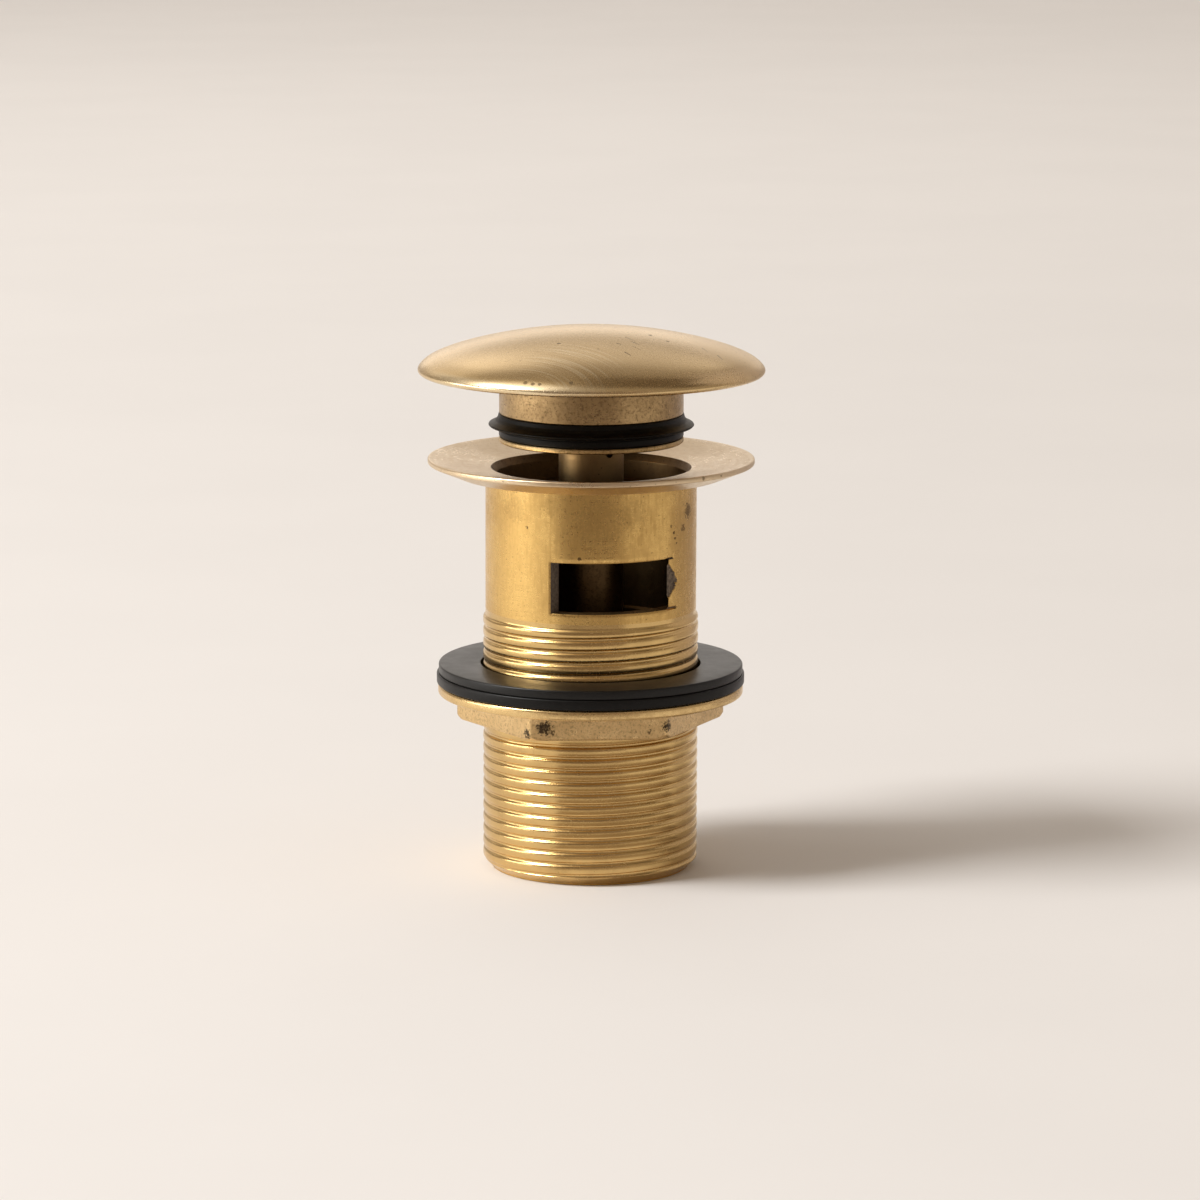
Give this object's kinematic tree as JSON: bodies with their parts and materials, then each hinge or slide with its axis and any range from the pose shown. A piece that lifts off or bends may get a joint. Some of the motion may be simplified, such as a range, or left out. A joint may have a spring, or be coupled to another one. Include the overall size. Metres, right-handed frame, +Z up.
{
  "type": "pop up basin waste",
  "caption": "Slotted brass basin waste with a domed push plug on a sprung click cartridge, a rubber lip seal, a dished flange, a threaded tail, washers and a flanged backnut.",
  "frame": {"origin": "centre of the tail's lower rim, on the axis", "axes": "+Z up along the axis to the cap; -Y out of the overflow slot"},
  "size_m": [0.0672, 0.0672, 0.1059],
  "materials": {
    "body_brass": "turned and lightly tarnished",
    "inner_brass": "as machined",
    "nut_brass": "turned flange, grainy cast flats",
    "sleeve_brass": "dull",
    "neck_brass": "rough satin, tarnished",
    "cap_brass": "satin, finely scratched",
    "washer_rubber": "matt black",
    "friction_rubber": "matt black",
    "seal_rubber": "black with a slight sheen",
    "acetal": "moulded off-white",
    "steel": "bright"
  },
  "bodies": {
    "waste_body": {"waste_body": "body_brass", "bridge": "inner_brass", "cartridge_base": "inner_brass", "lock_nut": "inner_brass", "cam_core": "acetal", "core_screw": "steel", "spring_seat": "steel", "return_spring": "steel"},
    "plug": {"dome_cap": "cap_brass", "cap_o_ring": "seal_rubber", "plug_body": "neck_brass", "plug_nut": "inner_brass", "lip_seal": "seal_rubber", "plunger_sleeve": "sleeve_brass", "guide_bush": "acetal", "retaining_ring": "steel"},
    "cam_ring": {"cam_ring": "acetal", "follower_pins": "steel"},
    "washers": {"rubber_washer": "washer_rubber", "friction_washer": "friction_rubber"},
    "backnut": {"backnut": "nut_brass"}
  },
  "joints": [
    {"name": "plug_slide", "type": "slide", "parent": "waste_body", "child": "plug", "axis": [0, 0, 1], "range_m": [-0.0078, 0], "stiffness_N_per_m": 400, "springref_m": 0.012, "deforming": ["return_spring"]},
    {"name": "cam_ring_turn", "type": "hinge", "parent": "plug", "child": "cam_ring", "pos_m": [0, 0, 0.059], "axis": [0, 0, 1], "range_deg": [0, 93]},
    {"name": "washer_slide", "type": "slide", "parent": "waste_body", "child": "washers", "axis": [0, 0, 1], "range_m": [-0.0256, 0.0117]},
    {"name": "backnut_turn", "type": "hinge", "parent": "washers", "child": "backnut", "pos_m": [0, 0, 0.033], "axis": [0, 0, 1], "range_deg": [-3960, 1800]}
  ],
  "couplings": [
    {"joint": "cam_ring_turn", "follows": "plug_slide", "rad_per_m": -201.2},
    {"joint": "washer_slide", "follows": "backnut_turn", "m_per_rad": 0.00036748}
  ]
}
